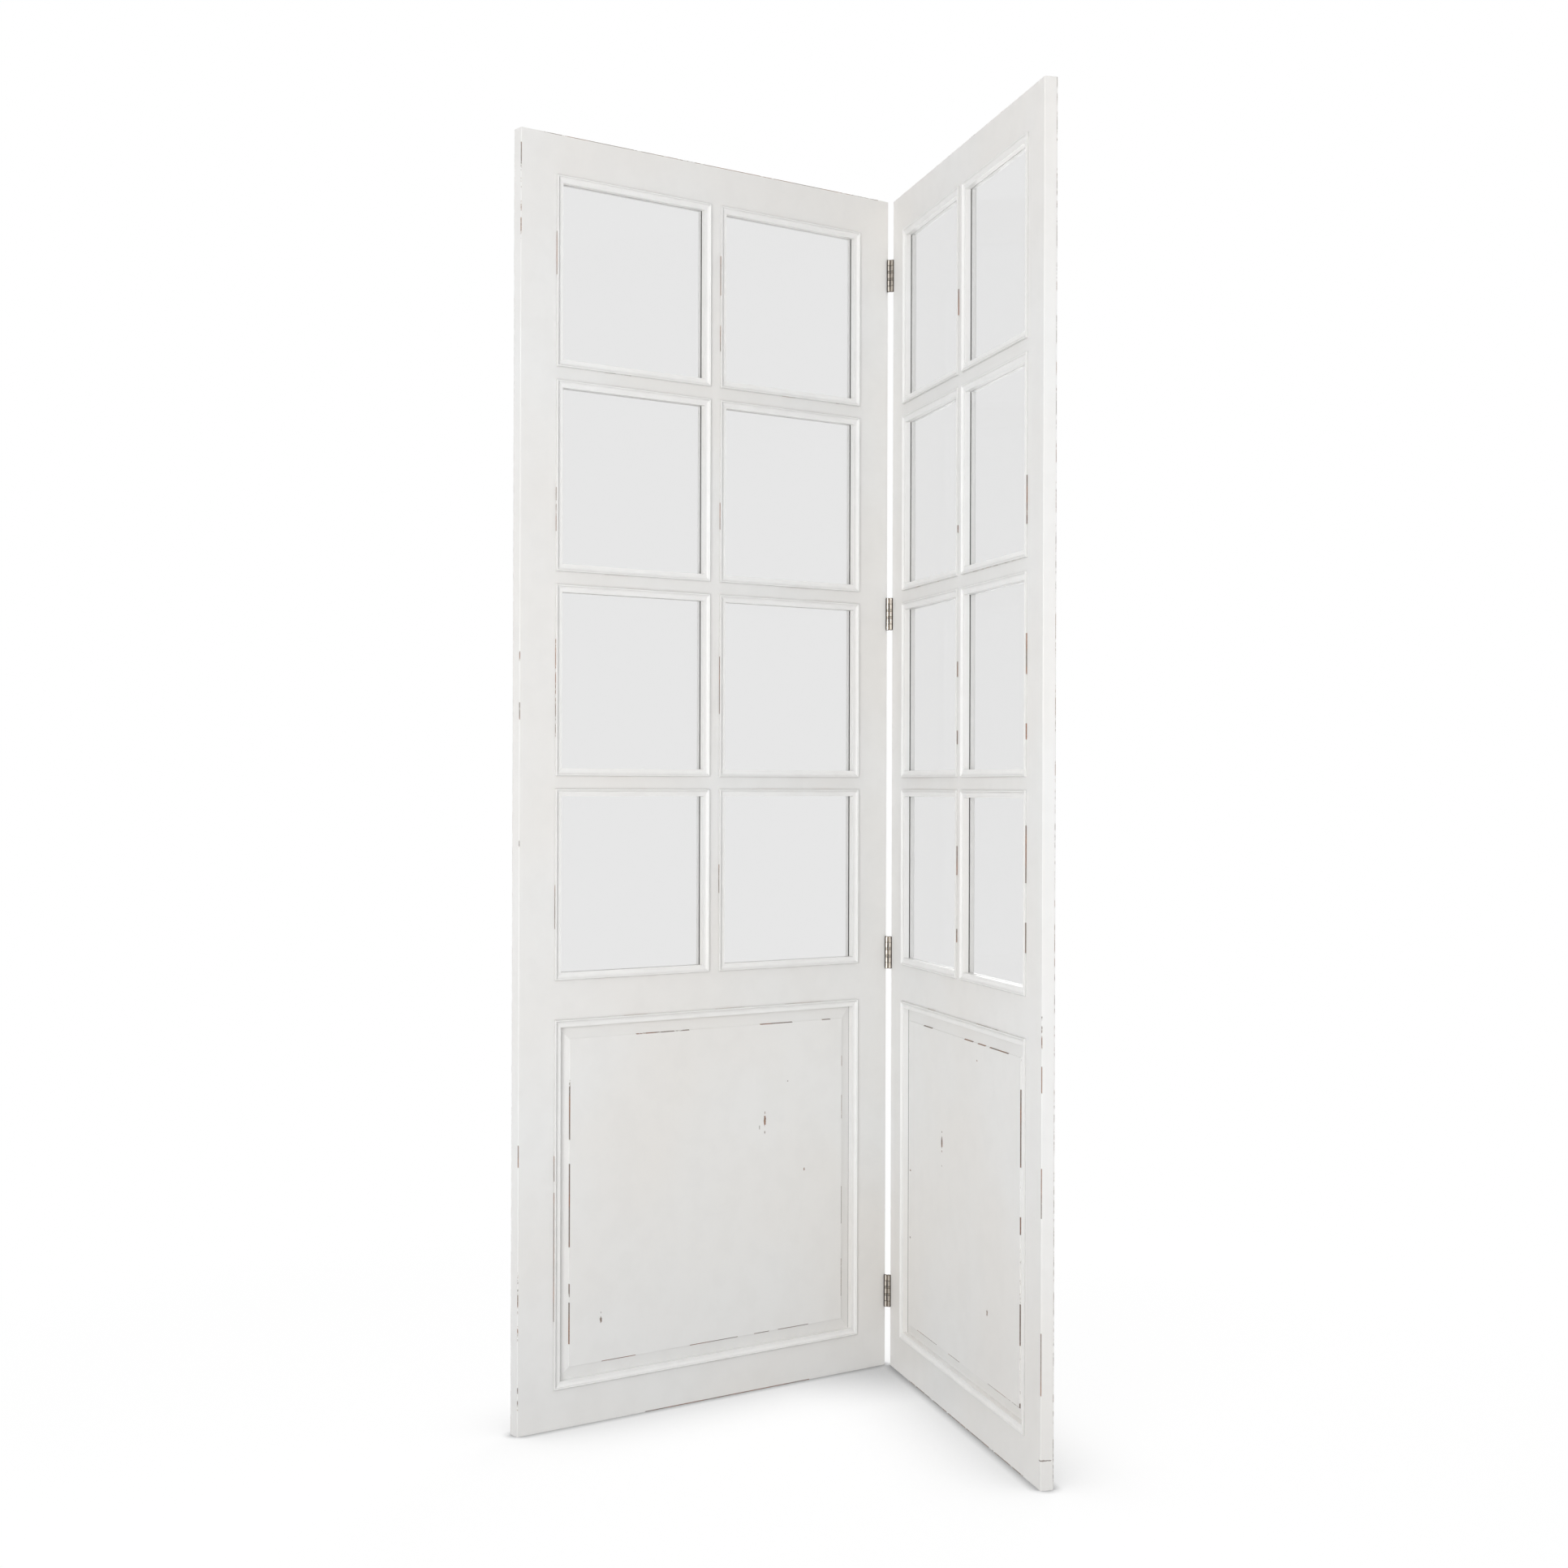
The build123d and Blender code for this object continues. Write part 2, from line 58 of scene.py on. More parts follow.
class Nodes:
    """Short calls for the nodes of one material."""

    def __init__(self, name):
        self.material = bpy.data.materials.new(name)
        self.material.use_nodes = True
        self.tree = self.material.node_tree
        self.tree.nodes.clear()
        self.output = self.tree.nodes.new("ShaderNodeOutputMaterial")

    def new(self, kind, **settings):
        node = self.tree.nodes.new("ShaderNode" + kind)
        for key, value in settings.items():
            setattr(node, key, value)
        return node

    def set(self, socket, value):
        if isinstance(value, bpy.types.NodeSocket):
            self.tree.links.new(value, socket)
        elif value is not None:
            socket.default_value = value

    def math(self, operation, a, b=None, c=None, clamp=False):
        node = self.new("Math", operation=operation, use_clamp=clamp)
        for socket, value in zip(node.inputs, (a, b, c)):
            self.set(socket, value)
        return node.outputs[0]

    def vector(self, operation, a, b=None):
        node = self.new("VectorMath", operation=operation)
        self.set(node.inputs[0], a)
        self.set(node.inputs[1], b)
        return node.outputs["Value" if operation == "LENGTH" else "Vector"]

    def combine(self, x, y, z):
        node = self.new("CombineXYZ")
        for socket, value in zip(node.inputs, (x, y, z)):
            self.set(socket, value)
        return node.outputs[0]

    def noise(self, vector, scale, detail, roughness=0.5):
        node = self.new("TexNoise")
        self.set(node.inputs["Vector"], vector)
        node.inputs["Scale"].default_value = scale
        node.inputs["Detail"].default_value = detail
        node.inputs["Roughness"].default_value = roughness
        return node.outputs["Fac"]

    def ramp(self, value, low, high, out_low=0.0, out_high=1.0):
        """Smooth change from out_low to out_high as value goes from low to high."""
        node = self.new("MapRange", interpolation_type="SMOOTHSTEP")
        keys = ("Value", "From Min", "From Max", "To Min", "To Max")
        for key, number in zip(keys, (value, low, high, out_low, out_high)):
            self.set(node.inputs[key], number)
        return node.outputs[0]

    def mix(self, share, a, b):
        node = self.new("Mix", data_type="RGBA")
        self.set(node.inputs[0], share)
        self.set(node.inputs[6], a)
        self.set(node.inputs[7], b)
        return node.outputs[2]

    def occlusion(self, distance, samples=6):
        node = self.new("AmbientOcclusion", samples=samples)
        node.inputs["Distance"].default_value = distance
        return node.outputs["AO"]

    def leaf_position(self):
        """Place, u, (signed u, v, d), v and d. Signed u is negative on the left leaf."""
        split = self.new("SeparateXYZ")
        place = self.new("TexCoord").outputs["Object"]
        self.set(split.inputs[0], place)
        x, y, z = split.outputs
        from_corner = self.math("SUBTRACT", self.math("ABSOLUTE", x), CORNER_X)
        behind = self.math("SUBTRACT", y, CORNER_Y)
        u = self.math(
            "SUBTRACT",
            self.math("MULTIPLY", from_corner, math.sin(HALF_ANGLE)),
            self.math("MULTIPLY", behind, math.cos(HALF_ANGLE)),
        )
        d = self.math(
            "ADD",
            self.math("MULTIPLY", from_corner, math.cos(HALF_ANGLE)),
            self.math("MULTIPLY", behind, math.sin(HALF_ANGLE)),
        )
        signed = self.math("MULTIPLY", u, self.math("SIGN", x))
        return place, u, self.combine(signed, z, d), z, d


def srgb(red, green, blue):
    """Linear colour of 8-bit values."""
    def linear(value):
        value /= 255
        return value / 12.92 if value <= 0.04045 else ((value + 0.055) / 1.055) ** 2.4

    return (linear(red), linear(green), linear(blue), 1.0)


PAINT = srgb(237, 237, 236)
WARM_PAINT = srgb(236, 234, 231)
SHADE_PAINT = srgb(220, 219, 217)
# The trim's paint is a lighter copy of the same white: painted light for the light the mouldings
# catch
LIT_TRIM_PAINT = srgb(243, 243, 242)
LIT_WARM_TRIM = srgb(242, 241, 239)
DUST_AND_SHADE = srgb(178, 177, 174)
SEAM = srgb(92, 92, 86)
BARE_WOOD = srgb(140, 128, 120)
RED_WOOD = srgb(160, 120, 98)
DARK_WOOD = srgb(98, 87, 80)

GLASS_TINT = srgb(243, 243, 243)
GLASS_CLEAR = (0.99, 0.99, 0.99, 1.0)
GLASS_IOR = 1.45
PAINT_IOR = 1.45
MIRROR_SHARE = 0.3
NICKEL = srgb(218, 211, 200)
BRIGHT_NICKEL = srgb(228, 223, 214)
TARNISH_AND_SHADE = srgb(122, 113, 104)
GRIME_AND_SHADE = srgb(62, 54, 49)

# The hinges: pin line, barrel, the joints between its segments as heights from the middle, and
# how far the painted highlight and shade, the tarnish and the grime go
PIN_X = 0.0028
BARREL_RADIUS = 0.00265
HINGE_LOW = 0.115
HINGE_PITCH = 0.52335
RING_LOW = 0.00395
RING_HIGH = 0.00715
OUTER_JOINT = 0.01555
BARREL_END = 0.0246
HIGHLIGHT_HALF = 0.0004
FLANK_RAGGED = 0.0012
PLATE_FADE = 0.0008
JOINT_LINE = 0.0006
RING_LINE = 0.0005
RING_TARNISH = 0.62
PLATE_TARNISH = 0.4
LEFT_FLANK_SHADE = 0.9
RIGHT_BARREL_SHADE = 0.5
JOINT_GRIME = 0.9

# The leaf's layout in the same coordinates, for the wear along its edges
LEAF_MIDDLE = 0.332
PANE_SHIFT = 0.1415
PANE_HALF_WIDTH = 0.1325
PANE_HALF_HEIGHT = 0.13325
PANE_PITCH = 0.2845
PANE_ROW = 0.75725
PANEL_MIDDLE = 0.312
PANEL_HALF_WIDTH = 0.274
PANEL_HALF_HEIGHT = 0.257
FIELD_HALF_WIDTH = 0.246
FIELD_HALF_HEIGHT = 0.229
ROW_SPLIT = 0.5965

GLASS_BACK = 0.0108
BOARD = 0.018

# Reveals and seams: depths in the leaf, and how dark level and upright seams are. A pair of
# numbers is where a smooth change starts and ends, here and below.
REVEAL_FRONT = 0.005
REVEAL_BACK = 0.0112
SEAM_STARTS = (0.0069, 0.0075)
SEAM_ENDS = (0.0111, 0.0113)
SEAM_LINE = 0.0004
LEAF_RIM = 0.03
LEVEL_SEAM = 0.04
UPRIGHT_SEAM = 0.85

# Painted shade, with some dust, where corners close in: how far it reaches into a corner, and its
# share there, on panels and on the mouldings
SHADE_REACH = 0.003
HINGE_SHADE_REACH = 0.0016
CORNER_SHADE_AND_DUST = 0.34
PANEL_SHADE_AND_DUST = 0.15
FLANK_SHADE_AND_DUST = 0.38
FLANK_SPAN = (0.0005, 0.0011)

# Wear: the width of each kind of arris, and the level at which the paint is gone
FIELD_LINE = 0.0009
TRIM_SPAN = (0.0006, 0.0012)
TRIM_TOP = (-0.0020, -0.0012)
RIM_SPAN = (0.0005, 0.0015)
LINE_REACH = 0.006
STRETCH_INSET = 0.002
STRETCH_FADE = 0.004
BACK_READINESS = 0.56
READY_WEIGHT = 0.55
PATCH_WEIGHT = 0.35
SPECKLE_WEIGHT = 0.10
WORN_SPAN = (0.51, 0.57)
CHIP_RAGGED = 1.6
CHIP_SPAN = (0.75, 1.15)

# Surface of the paint: gloss, brush strokes, pores, and the step down to duller bare wood
SATIN_SPAN = (0.40, 0.50)
BARE_ROUGHER = 0.32
STROKE_HEIGHT = 0.00005
PORE_HEIGHT = 0.00001
PAINT_THICKNESS = 0.00008

# Chips, in millimetres: (signed u, v, half width, half height, share of bare wood)
PANEL_CHIPS = [
    (-234, 397, 2.2, 8.0, 1.0), (-234, 409, 1.0, 2.0, 0.8), (-234, 380, 1.2, 2.4, 0.8),
    (-244, 388, 0.9, 3.0, 0.7), (-159, 318, 1.4, 2.4, 0.9), (-191, 453, 1.2, 1.2, 0.7),
    (-525, 142, 1.8, 4.4, 1.0), (-525, 152, 0.8, 1.2, 0.7),
    (247, 381, 3.4, 9.0, 1.0), (247, 396, 2.0, 1.4, 0.7), (247, 368, 2.0, 1.6, 0.7),
    (247, 347, 1.8, 1.2, 0.6), (402, 517, 2.4, 1.4, 0.6), (448, 179, 3.0, 4.6, 0.8),
    (94, 316, 3.0, 1.4, 0.8), (94, 215, 3.0, 1.4, 0.7),
]
FRAME_CHIPS = [(664, 38, 6.0, 1.1, 0.8)]

# Rubbed stretches along edges, and along the frame's bottom edge a painted contact shadow, in
# millimetres: {line: [(from, to, readiness), ...]}.
# Level lines are keyed by v and run along signed u. Upright lines are keyed by signed u and
# run along v.
PANEL_LEVEL = {
    541: [(-467, -372, 0.62), (-243, -182, 0.78), (-125, -108, 0.7), (158, 200, 0.8),
          (347, 385, 0.85), (405, 437, 0.9), (455, 530, 0.85)],
    83: [(-523, -466, 0.95), (-370, -283, 0.8), (-252, -225, 0.9), (-208, -150, 0.8),
         (130, 225, 0.68), (280, 330, 0.85), (450, 580, 0.62)],
}
PANEL_UPRIGHT = {
    -578: [(400, 485, 0.64), (250, 367, 0.78), (180, 200, 0.55), (115, 172, 0.95)],
    -86: [(468, 484, 0.75), (388, 425, 0.62), (228, 285, 0.8), (110, 175, 0.62)],
    86: [(490, 525, 0.55)],
    578: [(84, 541, 0.50), (398, 442, 1.0), (440, 500, 0.75), (310, 332, 0.9), (165, 218, 0.95)],
}
TRIM_LEVEL = {
    55: [(-475, -440, 0.82), (-350, -300, 0.85), (-180, -150, 0.74), (170, 225, 0.74),
         (315, 355, 0.8), (472, 500, 0.8)],
    569: [(-489, -450, 0.95), (-330, -275, 0.66), (-200, -130, 0.76), (190, 225, 0.85),
          (410, 500, 0.62)],
    624: [(-531, -500, 0.8), (-490, -430, 0.62), (-255, -238, 0.66), (-200, -181, 0.92),
          (108, 140, 0.62), (260, 275, 0.66), (440, 500, 0.6)],
    890: [(-483, -452, 0.62), (-263, -215, 0.84), (-143, -108, 0.88), (100, 165, 0.62),
          (250, 275, 0.66), (390, 480, 0.58)],
    909: [(-517, -478, 0.66), (-428, -410, 0.68), (-250, -243, 0.8), (-195, -150, 0.64),
          (100, 190, 0.66), (400, 530, 0.66)],
    1175: [(-492, -445, 0.86), (-415, -382, 0.86), (-245, -225, 0.66),
           (-145, -105, 0.68), (105, 125, 0.88)],
    1193: [(-525, -485, 0.7), (-200, -150, 0.7), (115, 150, 0.62), (230, 240, 0.6),
           (345, 590, 0.54)],
    1460: [(-513, -488, 0.74), (-437, -434, 0.8), (-421, -408, 0.92), (-270, -230, 0.62),
           (-190, -120, 0.64), (115, 140, 0.6)],
    1478: [(-525, -508, 0.8), (-500, -480, 0.6), (-208, -183, 0.78), (-105, -98, 0.7)],
    1744: [(-475, -432, 0.72), (-220, -208, 0.7), (-178, -132, 0.7)],
}
TRIM_UPRIGHT = {
    -606: [(1605, 1665, 0.84), (1248, 1310, 0.64), (960, 1100, 0.64), (695, 765, 0.64),
           (345, 380, 0.85), (150, 330, 0.74)],
    -341: [(1575, 1620, 0.62), (975, 1027, 0.68)],
    -323: [(1612, 1670, 0.74), (1530, 1570, 0.66), (1270, 1310, 0.64), (1000, 1085, 0.7),
           (738, 780, 0.7)],
    -58: [(1614, 1625, 0.7), (1250, 1295, 0.6), (1075, 1115, 0.62), (960, 1015, 0.66),
          (755, 805, 0.62), (660, 695, 0.68), (275, 357, 0.95), (400, 450, 0.66)],
    58: [(400, 530, 0.56)],
    323: [(1562, 1598, 0.84), (1253, 1265, 0.66), (1050, 1072, 0.8), (955, 975, 0.66),
          (770, 812, 0.74), (675, 695, 0.7)],
    606: [(1235, 1300, 0.66), (1040, 1095, 0.72), (957, 977, 0.88), (770, 845, 0.78),
          (680, 720, 0.7)],
}
FRAME_LEVEL = {
    1800: [(-640, -20, 0.6), (-583, -535, 1.0), (-527, -480, 0.82), (-420, -400, 0.8),
           (-330, -250, 1.0), (-220, -195, 0.86), (-150, -100, 0.86), (40, 640, 0.5)],
    # Along the bottom edge (v 0) the stretches are painted shadow: the dark line where the leaf
    # stands on the floor, drawn as bare wood
    0: [(-450, -150, 0.85), (100, 600, 0.62)],
}
FRAME_UPRIGHT = {
    -664: [(1715, 1780, 0.60), (1640, 1700, 0.6), (1065, 1080, 0.64), (985, 1010, 0.64),
           (808, 820, 0.64), (370, 400, 0.78), (120, 240, 0.54), (35, 75, 0.58)],
    664: [(560, 605, 0.6), (505, 540, 0.68), (345, 410, 0.68), (120, 200, 0.74)],
}
WORN_LINES = {
    "panel": (PANEL_LEVEL, PANEL_UPRIGHT),
    "trim": (TRIM_LEVEL, TRIM_UPRIGHT),
    "frame": (FRAME_LEVEL, FRAME_UPRIGHT),
}
CHIPS = {"panel": PANEL_CHIPS, "trim": [], "frame": FRAME_CHIPS}


def outline_distance(n, u, v, middle_u, middle_v, half_u, half_v):
    """Signed distance to a rectangle's outline, negative inside."""
    across = n.math("SUBTRACT", n.math("ABSOLUTE", n.math("SUBTRACT", u, middle_u)), half_u)
    up = n.math("SUBTRACT", n.math("ABSOLUTE", n.math("SUBTRACT", v, middle_v)), half_v)
    return n.math("MAXIMUM", across, up)


def pane_place(n, u, v):
    """Distance across and up from the middle of the nearest pane."""
    from_bar = n.math("ABSOLUTE", n.math("SUBTRACT", u, LEAF_MIDDLE))
    column = n.math("SUBTRACT", from_bar, PANE_SHIFT)
    turn = n.math("ADD", n.math("SUBTRACT", v, PANE_ROW), PANE_PITCH / 2)
    row = n.math("SUBTRACT", n.math("FLOORED_MODULO", turn, PANE_PITCH), PANE_PITCH / 2)
    return column, row


def moulding_depth(n, u, v):
    """How far the point is inside the outer edge of the moulding round its pane or panel."""
    column, row = pane_place(n, u, v)
    pane = outline_distance(n, column, row, 0.0, 0.0, PANE_HALF_WIDTH, PANE_HALF_HEIGHT)
    panel = outline_distance(
        n, u, v, LEAF_MIDDLE, PANEL_MIDDLE, PANEL_HALF_WIDTH, PANEL_HALF_HEIGHT
    )
    upper = n.math("GREATER_THAN", v, ROW_SPLIT)
    lower = n.math("SUBTRACT", 1.0, upper)
    outside = n.math("ADD", n.math("MULTIPLY", pane, upper), n.math("MULTIPLY", panel, lower))
    return n.math("MULTIPLY", outside, -1.0)


def band(n, value, centre, half_width):
    """1 at centre, falling to 0 at half_width either side."""
    offset = n.math("ABSOLUTE", n.math("SUBTRACT", value, centre))
    return n.ramp(offset, half_width * 0.4, half_width, 1.0, 0.0)


def edge_bands(n, kind, u, v, d):
    """Where the paint can wear through: 1 on the arris, 0 off it."""
    if kind == "panel":
        outline = outline_distance(
            n, u, v, LEAF_MIDDLE, PANEL_MIDDLE, FIELD_HALF_WIDTH, FIELD_HALF_HEIGHT
        )
        front = n.math("LESS_THAN", d, BOARD / 2)
        return n.math("MULTIPLY", band(n, outline, 0.0, FIELD_LINE), front)
    if kind == "trim":
        edge = n.ramp(moulding_depth(n, u, v), *TRIM_SPAN, 1.0, 0.0)
        return n.math("MULTIPLY", edge, n.ramp(d, *TRIM_TOP))
    sides = n.math("MINIMUM", u, n.math("SUBTRACT", LEAF_WIDTH, u))
    ends = n.math("MINIMUM", v, n.math("SUBTRACT", LEAF_HEIGHT, v))
    faces = n.math("MINIMUM", d, n.math("SUBTRACT", BOARD, d))
    rim = n.math("ADD", n.math("MINIMUM", sides, ends), faces)
    return n.ramp(rim, *RIM_SPAN, 1.0, 0.0)


def worn_lines(n, kind, signed_u, v, d):
    """How ready the paint is to wear through along the edges, 0 to 1."""
    front = n.math("LESS_THAN", d, BOARD / 2)
    ready = n.math("MULTIPLY", n.math("SUBTRACT", 1.0, front), BACK_READINESS)
    level, upright = WORN_LINES[kind]
    for lines, across, along in ((level, v, signed_u), (upright, signed_u, v)):
        for place, stretches in lines.items():
            gap = n.math("ABSOLUTE", n.math("SUBTRACT", across, place / 1000))
            near = n.math("LESS_THAN", gap, LINE_REACH)
            line = None
            for start, stop, share in stretches:
                offset = n.math("ABSOLUTE", n.math("SUBTRACT", along, (start + stop) / 2000))
                half = abs(stop - start) / 2000
                stretch = n.ramp(offset, half - STRETCH_INSET, half + STRETCH_FADE, share, 0.0)
                line = stretch if line is None else n.math("MAXIMUM", line, stretch)
            near = n.math("MULTIPLY", near, front)
            ready = n.math("MAXIMUM", ready, n.math("MULTIPLY", line, near))
    return ready


def dark_seams(n, kind, u, v, d):
    """The shadowed seam where each pane meets the rebate, faint along its level edges."""
    if kind == "trim":
        column, row = pane_place(n, u, v)
        upright = n.math("GREATER_THAN", n.math("ABSOLUTE", column), n.math("ABSOLUTE", row))
        share = n.math("MULTIPLY_ADD", upright, 1.0 - LEVEL_SEAM, LEVEL_SEAM)
        return n.math("MULTIPLY", band(n, d, GLASS_BACK, SEAM_LINE), share)
    half_height = LEAF_HEIGHT / 2
    edge = outline_distance(n, u, v, LEAF_MIDDLE, half_height, LEAF_WIDTH / 2, half_height)
    inside = n.math("LESS_THAN", edge, -LEAF_RIM)
    seam = n.math("MULTIPLY", n.ramp(d, *SEAM_STARTS), n.ramp(d, *SEAM_ENDS, 1.0, 0.0))
    return n.math("MULTIPLY", seam, inside)


def paint(name, kind, grain="v"):
    """Satin white paint, brushed along the grain, rubbed through along the edges."""
    n = Nodes(name)
    place, u, leaf, v, d = n.leaf_position()
    parts = n.new("SeparateXYZ")
    n.set(parts.inputs[0], leaf)
    signed_u = parts.outputs[0]
    along = (60.0, 4.0, 60.0) if grain == "v" else (4.0, 60.0, 60.0)
    brushed = n.vector("MULTIPLY", leaf, along)

    # Broad, very faint changes of tone, and streaks left by the brush
    cloud = n.noise(place, scale=3.2, detail=2.0)
    streaks = n.noise(brushed, scale=3.0, detail=4.0, roughness=0.6)
    # Mouldings and beads take the lighter copy of the paint, which is painted light
    fresh, warm = (LIT_TRIM_PAINT, LIT_WARM_TRIM) if kind == "trim" else (PAINT, WARM_PAINT)
    base = n.mix(n.ramp(cloud, 0.3, 0.7), fresh, warm)
    base = n.mix(n.math("MULTIPLY", streaks, 0.06), base, SHADE_PAINT)
    smudges = n.noise(place, scale=28.0, detail=3.0)
    base = n.mix(n.ramp(smudges, 0.42, 0.66, 0.0, 0.10), base, SHADE_PAINT)

    # Painted shade, with some dust, in the corners of the front and back, not in the reveals
    close = n.occlusion(SHADE_REACH)
    if kind == "trim":
        open_side = n.ramp(moulding_depth(n, u, v), *TRIM_SPAN, 1.0, 0.25)
    else:
        front, back = n.math("LESS_THAN", d, REVEAL_FRONT), n.math("GREATER_THAN", d, REVEAL_BACK)
        open_side = n.math("ADD", front, back)
    shade_share = PANEL_SHADE_AND_DUST if kind == "panel" else CORNER_SHADE_AND_DUST
    occluded_shade = n.math("MULTIPLY", n.ramp(close, 0.3, 0.95, shade_share, 0.0), open_side)
    base = n.mix(occluded_shade, base, DUST_AND_SHADE)
    if kind == "trim":
        # Painted shade, with some dust, on the outer flank of each moulding
        flank = n.ramp(moulding_depth(n, u, v), *FLANK_SPAN, FLANK_SHADE_AND_DUST, 0.0)
        base = n.mix(flank, base, DUST_AND_SHADE)
    if kind != "panel":
        strength = LEVEL_SEAM if grain == "u" else UPRIGHT_SEAM
        base = n.mix(n.math("MULTIPLY", dark_seams(n, kind, u, v, d), strength), base, SEAM)

    # Paint rubbed through in stretches along the edges
    patches = n.noise(place, scale=70.0, detail=4.0, roughness=0.6)
    speckle = n.noise(place, scale=420.0, detail=2.0, roughness=0.6)
    level = n.math("MULTIPLY", worn_lines(n, kind, signed_u, v, d), READY_WEIGHT)
    level = n.math("ADD", level, n.math("MULTIPLY", patches, PATCH_WEIGHT))
    level = n.math("ADD", level, n.math("MULTIPLY", speckle, SPECKLE_WEIGHT))
    edges = edge_bands(n, kind, u, v, d)
    rubbed = n.math("MULTIPLY", edges, n.ramp(level, *WORN_SPAN), clamp=True)
    for mu, mv, half_wide, half_high, share in CHIPS[kind]:
        offset = n.vector("SUBTRACT", leaf, (mu / 1000, mv / 1000, 0.0))
        shaped = n.vector("MULTIPLY", offset, (1000 / half_wide, 1000 / half_high, 60.0))
        ragged = n.math("MULTIPLY", n.math("SUBTRACT", speckle, 0.5), CHIP_RAGGED)
        reach = n.math("ADD", n.vector("LENGTH", shaped), ragged)
        rubbed = n.math("MAXIMUM", rubbed, n.ramp(reach, *CHIP_SPAN, share, 0.0))

    ageing = n.noise(place, scale=22.0, detail=2.0)
    wood = n.mix(n.ramp(ageing, 0.42, 0.6), BARE_WOOD, RED_WOOD)
    wood = n.mix(n.ramp(speckle, 0.35, 0.75, 0.0, 0.7), wood, DARK_WOOD)
    colour = n.mix(rubbed, base, wood)

    # Satin where the paint is whole and dull on bare wood, with relief of strokes and wear
    sheen = n.noise(place, scale=38.0, detail=3.0)
    rough = n.ramp(sheen, 0.3, 0.7, *SATIN_SPAN)
    rough = n.math("ADD", rough, n.math("MULTIPLY", rubbed, BARE_ROUGHER))
    pores = n.noise(place, scale=900.0, detail=2.0)
    pores = n.math("MULTIPLY", pores, PORE_HEIGHT)
    height = n.math("ADD", n.math("MULTIPLY", streaks, STROKE_HEIGHT), pores)
    height = n.math("SUBTRACT", height, n.math("MULTIPLY", rubbed, PAINT_THICKNESS))
    bump = n.new("Bump")
    bump.inputs["Strength"].default_value = 0.8
    bump.inputs["Distance"].default_value = 1.0
    n.set(bump.inputs["Height"], height)

    shader = n.new("BsdfPrincipled")
    n.set(shader.inputs["Base Color"], colour)
    n.set(shader.inputs["Roughness"], rough)
    n.set(shader.inputs["Normal"], bump.outputs[0])
    shader.inputs["IOR"].default_value = PAINT_IOR
    shader.inputs["Specular IOR Level"].default_value = 0.35
    n.set(n.output.inputs[0], shader.outputs[0])
    return n.material


def glass():
    """Clear float glass with a faint mirror, which lets lamp and room light through."""
    n = Nodes("clear_glass")
    place = n.new("TexCoord").outputs["Object"]
    smear = n.noise(place, scale=9.0, detail=4.0, roughness=0.6)
    bends = n.new("BsdfRefraction")
    bends.inputs["Color"].default_value = GLASS_TINT
    bends.inputs["IOR"].default_value = GLASS_IOR
    bends.inputs["Roughness"].default_value = 0.0
    mirrors = n.new("BsdfGlossy")
    n.set(mirrors.inputs["Roughness"], n.ramp(smear, 0.35, 0.8, 0.05, 0.09))
    fresnel = n.new("Fresnel")
    fresnel.inputs["IOR"].default_value = GLASS_IOR
    pane = n.new("MixShader")
    n.set(pane.inputs[0], n.math("MULTIPLY", fresnel.outputs[0], MIRROR_SHARE))
    n.set(pane.inputs[1], bends.outputs[0])
    n.set(pane.inputs[2], mirrors.outputs[0])
    clear = n.new("BsdfTransparent")
    clear.inputs[0].default_value = GLASS_CLEAR
    both = n.new("MixShader")
    path = n.new("LightPath")
    light = n.math("MAXIMUM", path.outputs["Is Shadow Ray"], path.outputs["Is Diffuse Ray"])
    n.set(both.inputs[0], light)
    n.set(both.inputs[1], pane.outputs[0])
    n.set(both.inputs[2], clear.outputs[0])
    n.set(n.output.inputs[0], both.outputs[0])
    return n.material


